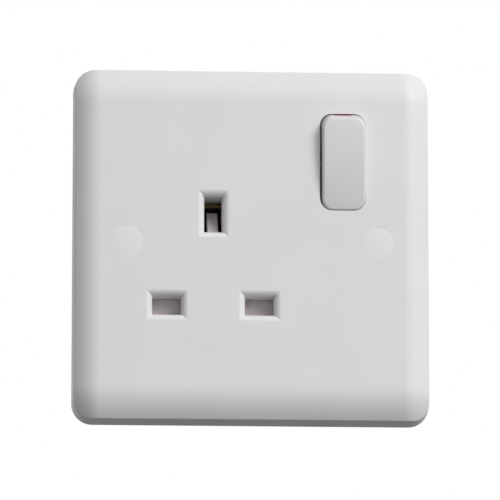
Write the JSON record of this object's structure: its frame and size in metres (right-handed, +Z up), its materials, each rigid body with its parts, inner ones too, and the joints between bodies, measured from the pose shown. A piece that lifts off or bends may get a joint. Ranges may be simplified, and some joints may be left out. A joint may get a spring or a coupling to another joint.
{
  "type": "switched wall socket",
  "caption": "Square moulded wall socket plate with bevelled slots for a flat-pin plug, a tipping rocker switch, capped fixing screws, a sprung safety shutter and rear terminals.",
  "frame": {"origin": "on the wall plane, midway between the fixing screws", "axes": "+X to the right seen from the front, +Y back into the wall along the fixing screws, +Z up"},
  "size_m": [0.086, 0.0333, 0.086],
  "materials": {
    "white_moulding": "smooth glossy white moulding",
    "rocker_white": "smooth satin white moulding",
    "shutter_white": "plain white moulding",
    "plunger_nylon": "plain nylon",
    "base_black": "dark thermoset moulding",
    "spring_steel": "bright spring wire",
    "zinc_steel": "bright zinc-plated steel",
    "brass_strip": "rolled brass strip",
    "brass_block": "machined brass",
    "copper_blade": "rolled copper alloy",
    "silver_tip": "silver contact metal"
  },
  "bodies": {
    "socket": {"faceplate": "white_moulding", "screw_cap_left": "white_moulding", "screw_cap_right": "white_moulding", "shutter_spring": "spring_steel", "base": "base_black", "base_screws": "zinc_steel", "fixing_screws": "zinc_steel", "terminal_screws": "zinc_steel", "earth_contact": "brass_strip", "neutral_contact": "brass_strip", "line_contact": "brass_strip", "fixed_contact": "brass_strip", "fixed_rivet": "silver_tip", "earth_terminal": "brass_block", "neutral_terminal": "brass_block", "line_terminal": "brass_block"},
    "rocker": {"rocker": "rocker_white", "plunger_spring": "spring_steel"},
    "plunger": {"plunger": "plunger_nylon"},
    "moving_contact": {"moving_contact": "copper_blade", "moving_rivet": "silver_tip"},
    "shutter": {"shutter": "shutter_white"}
  },
  "joints": [
    {"name": "rocker_tip", "type": "hinge", "parent": "socket", "child": "rocker", "pos_m": [0.0217, -0.006, 0.0199], "axis": [-1, 0, 0], "range_deg": [0, 15]},
    {"name": "plunger_slide", "type": "slide", "parent": "rocker", "child": "plunger", "axis": [0, -0.9914, -0.1305], "range_m": [0, 0.0008], "stiffness_N_per_m": 300, "springref_m": -0.003, "deforming": ["plunger_spring"]},
    {"name": "see_saw_tip", "type": "hinge", "parent": "socket", "child": "moving_contact", "pos_m": [0.0217, 0.0055, 0.0199], "axis": [1, 0, 0], "range_deg": [0, 15]},
    {"name": "shutter_slide", "type": "slide", "parent": "socket", "child": "shutter", "axis": [0, 0, -1], "range_m": [0, 0.0056], "stiffness_N_per_m": 120, "springref_m": -0.004, "deforming": ["shutter_spring"]}
  ],
  "couplings": [
    {"joint": "see_saw_tip", "follows": "rocker_tip", "ratio": 1}
  ]
}
